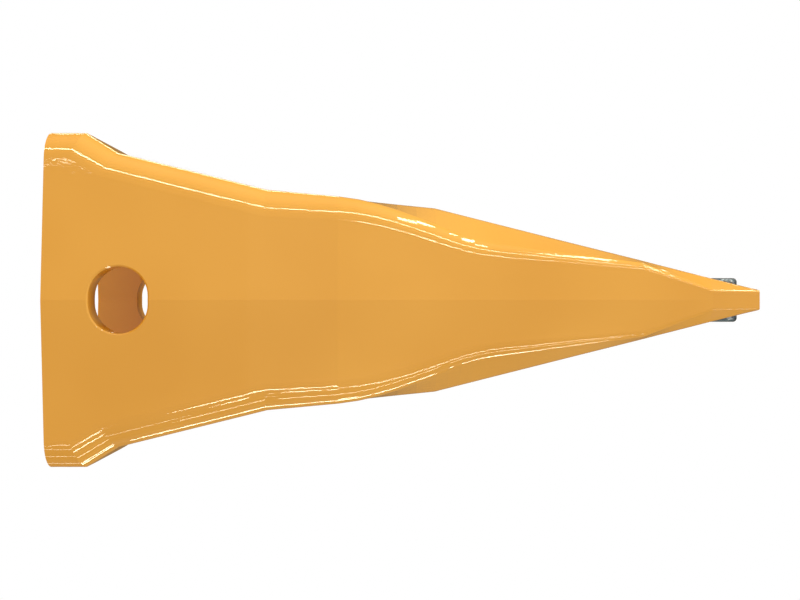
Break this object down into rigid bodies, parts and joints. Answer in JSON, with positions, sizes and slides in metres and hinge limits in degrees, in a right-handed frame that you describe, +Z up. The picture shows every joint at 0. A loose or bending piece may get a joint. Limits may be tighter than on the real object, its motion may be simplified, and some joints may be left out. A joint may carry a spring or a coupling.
{
  "type": "bucket tooth tip",
  "caption": "Wedge-shaped digging tip for an excavator bucket tooth, with a tapered socket, flared stop lips, a side pin hole and hard-metal wear plates near the edge.",
  "frame": {"origin": "centre of the socket mouth, in the plane of the rear face", "axes": "+X from the socket mouth to the digging edge, Y along the pin hole, +Z up, square to the digging edge"},
  "size_m": [0.2436, 0.093, 0.1152],
  "materials": {
    "painted_steel": "glossy orange-yellow paint on forged steel",
    "hard_metal": "rough cast hard metal, dark steel grey"
  },
  "bodies": {
    "root": {"tip_body": "painted_steel", "wear_plate_upper": "hard_metal", "wear_plate_lower": "hard_metal"}
  },
  "joints": []
}
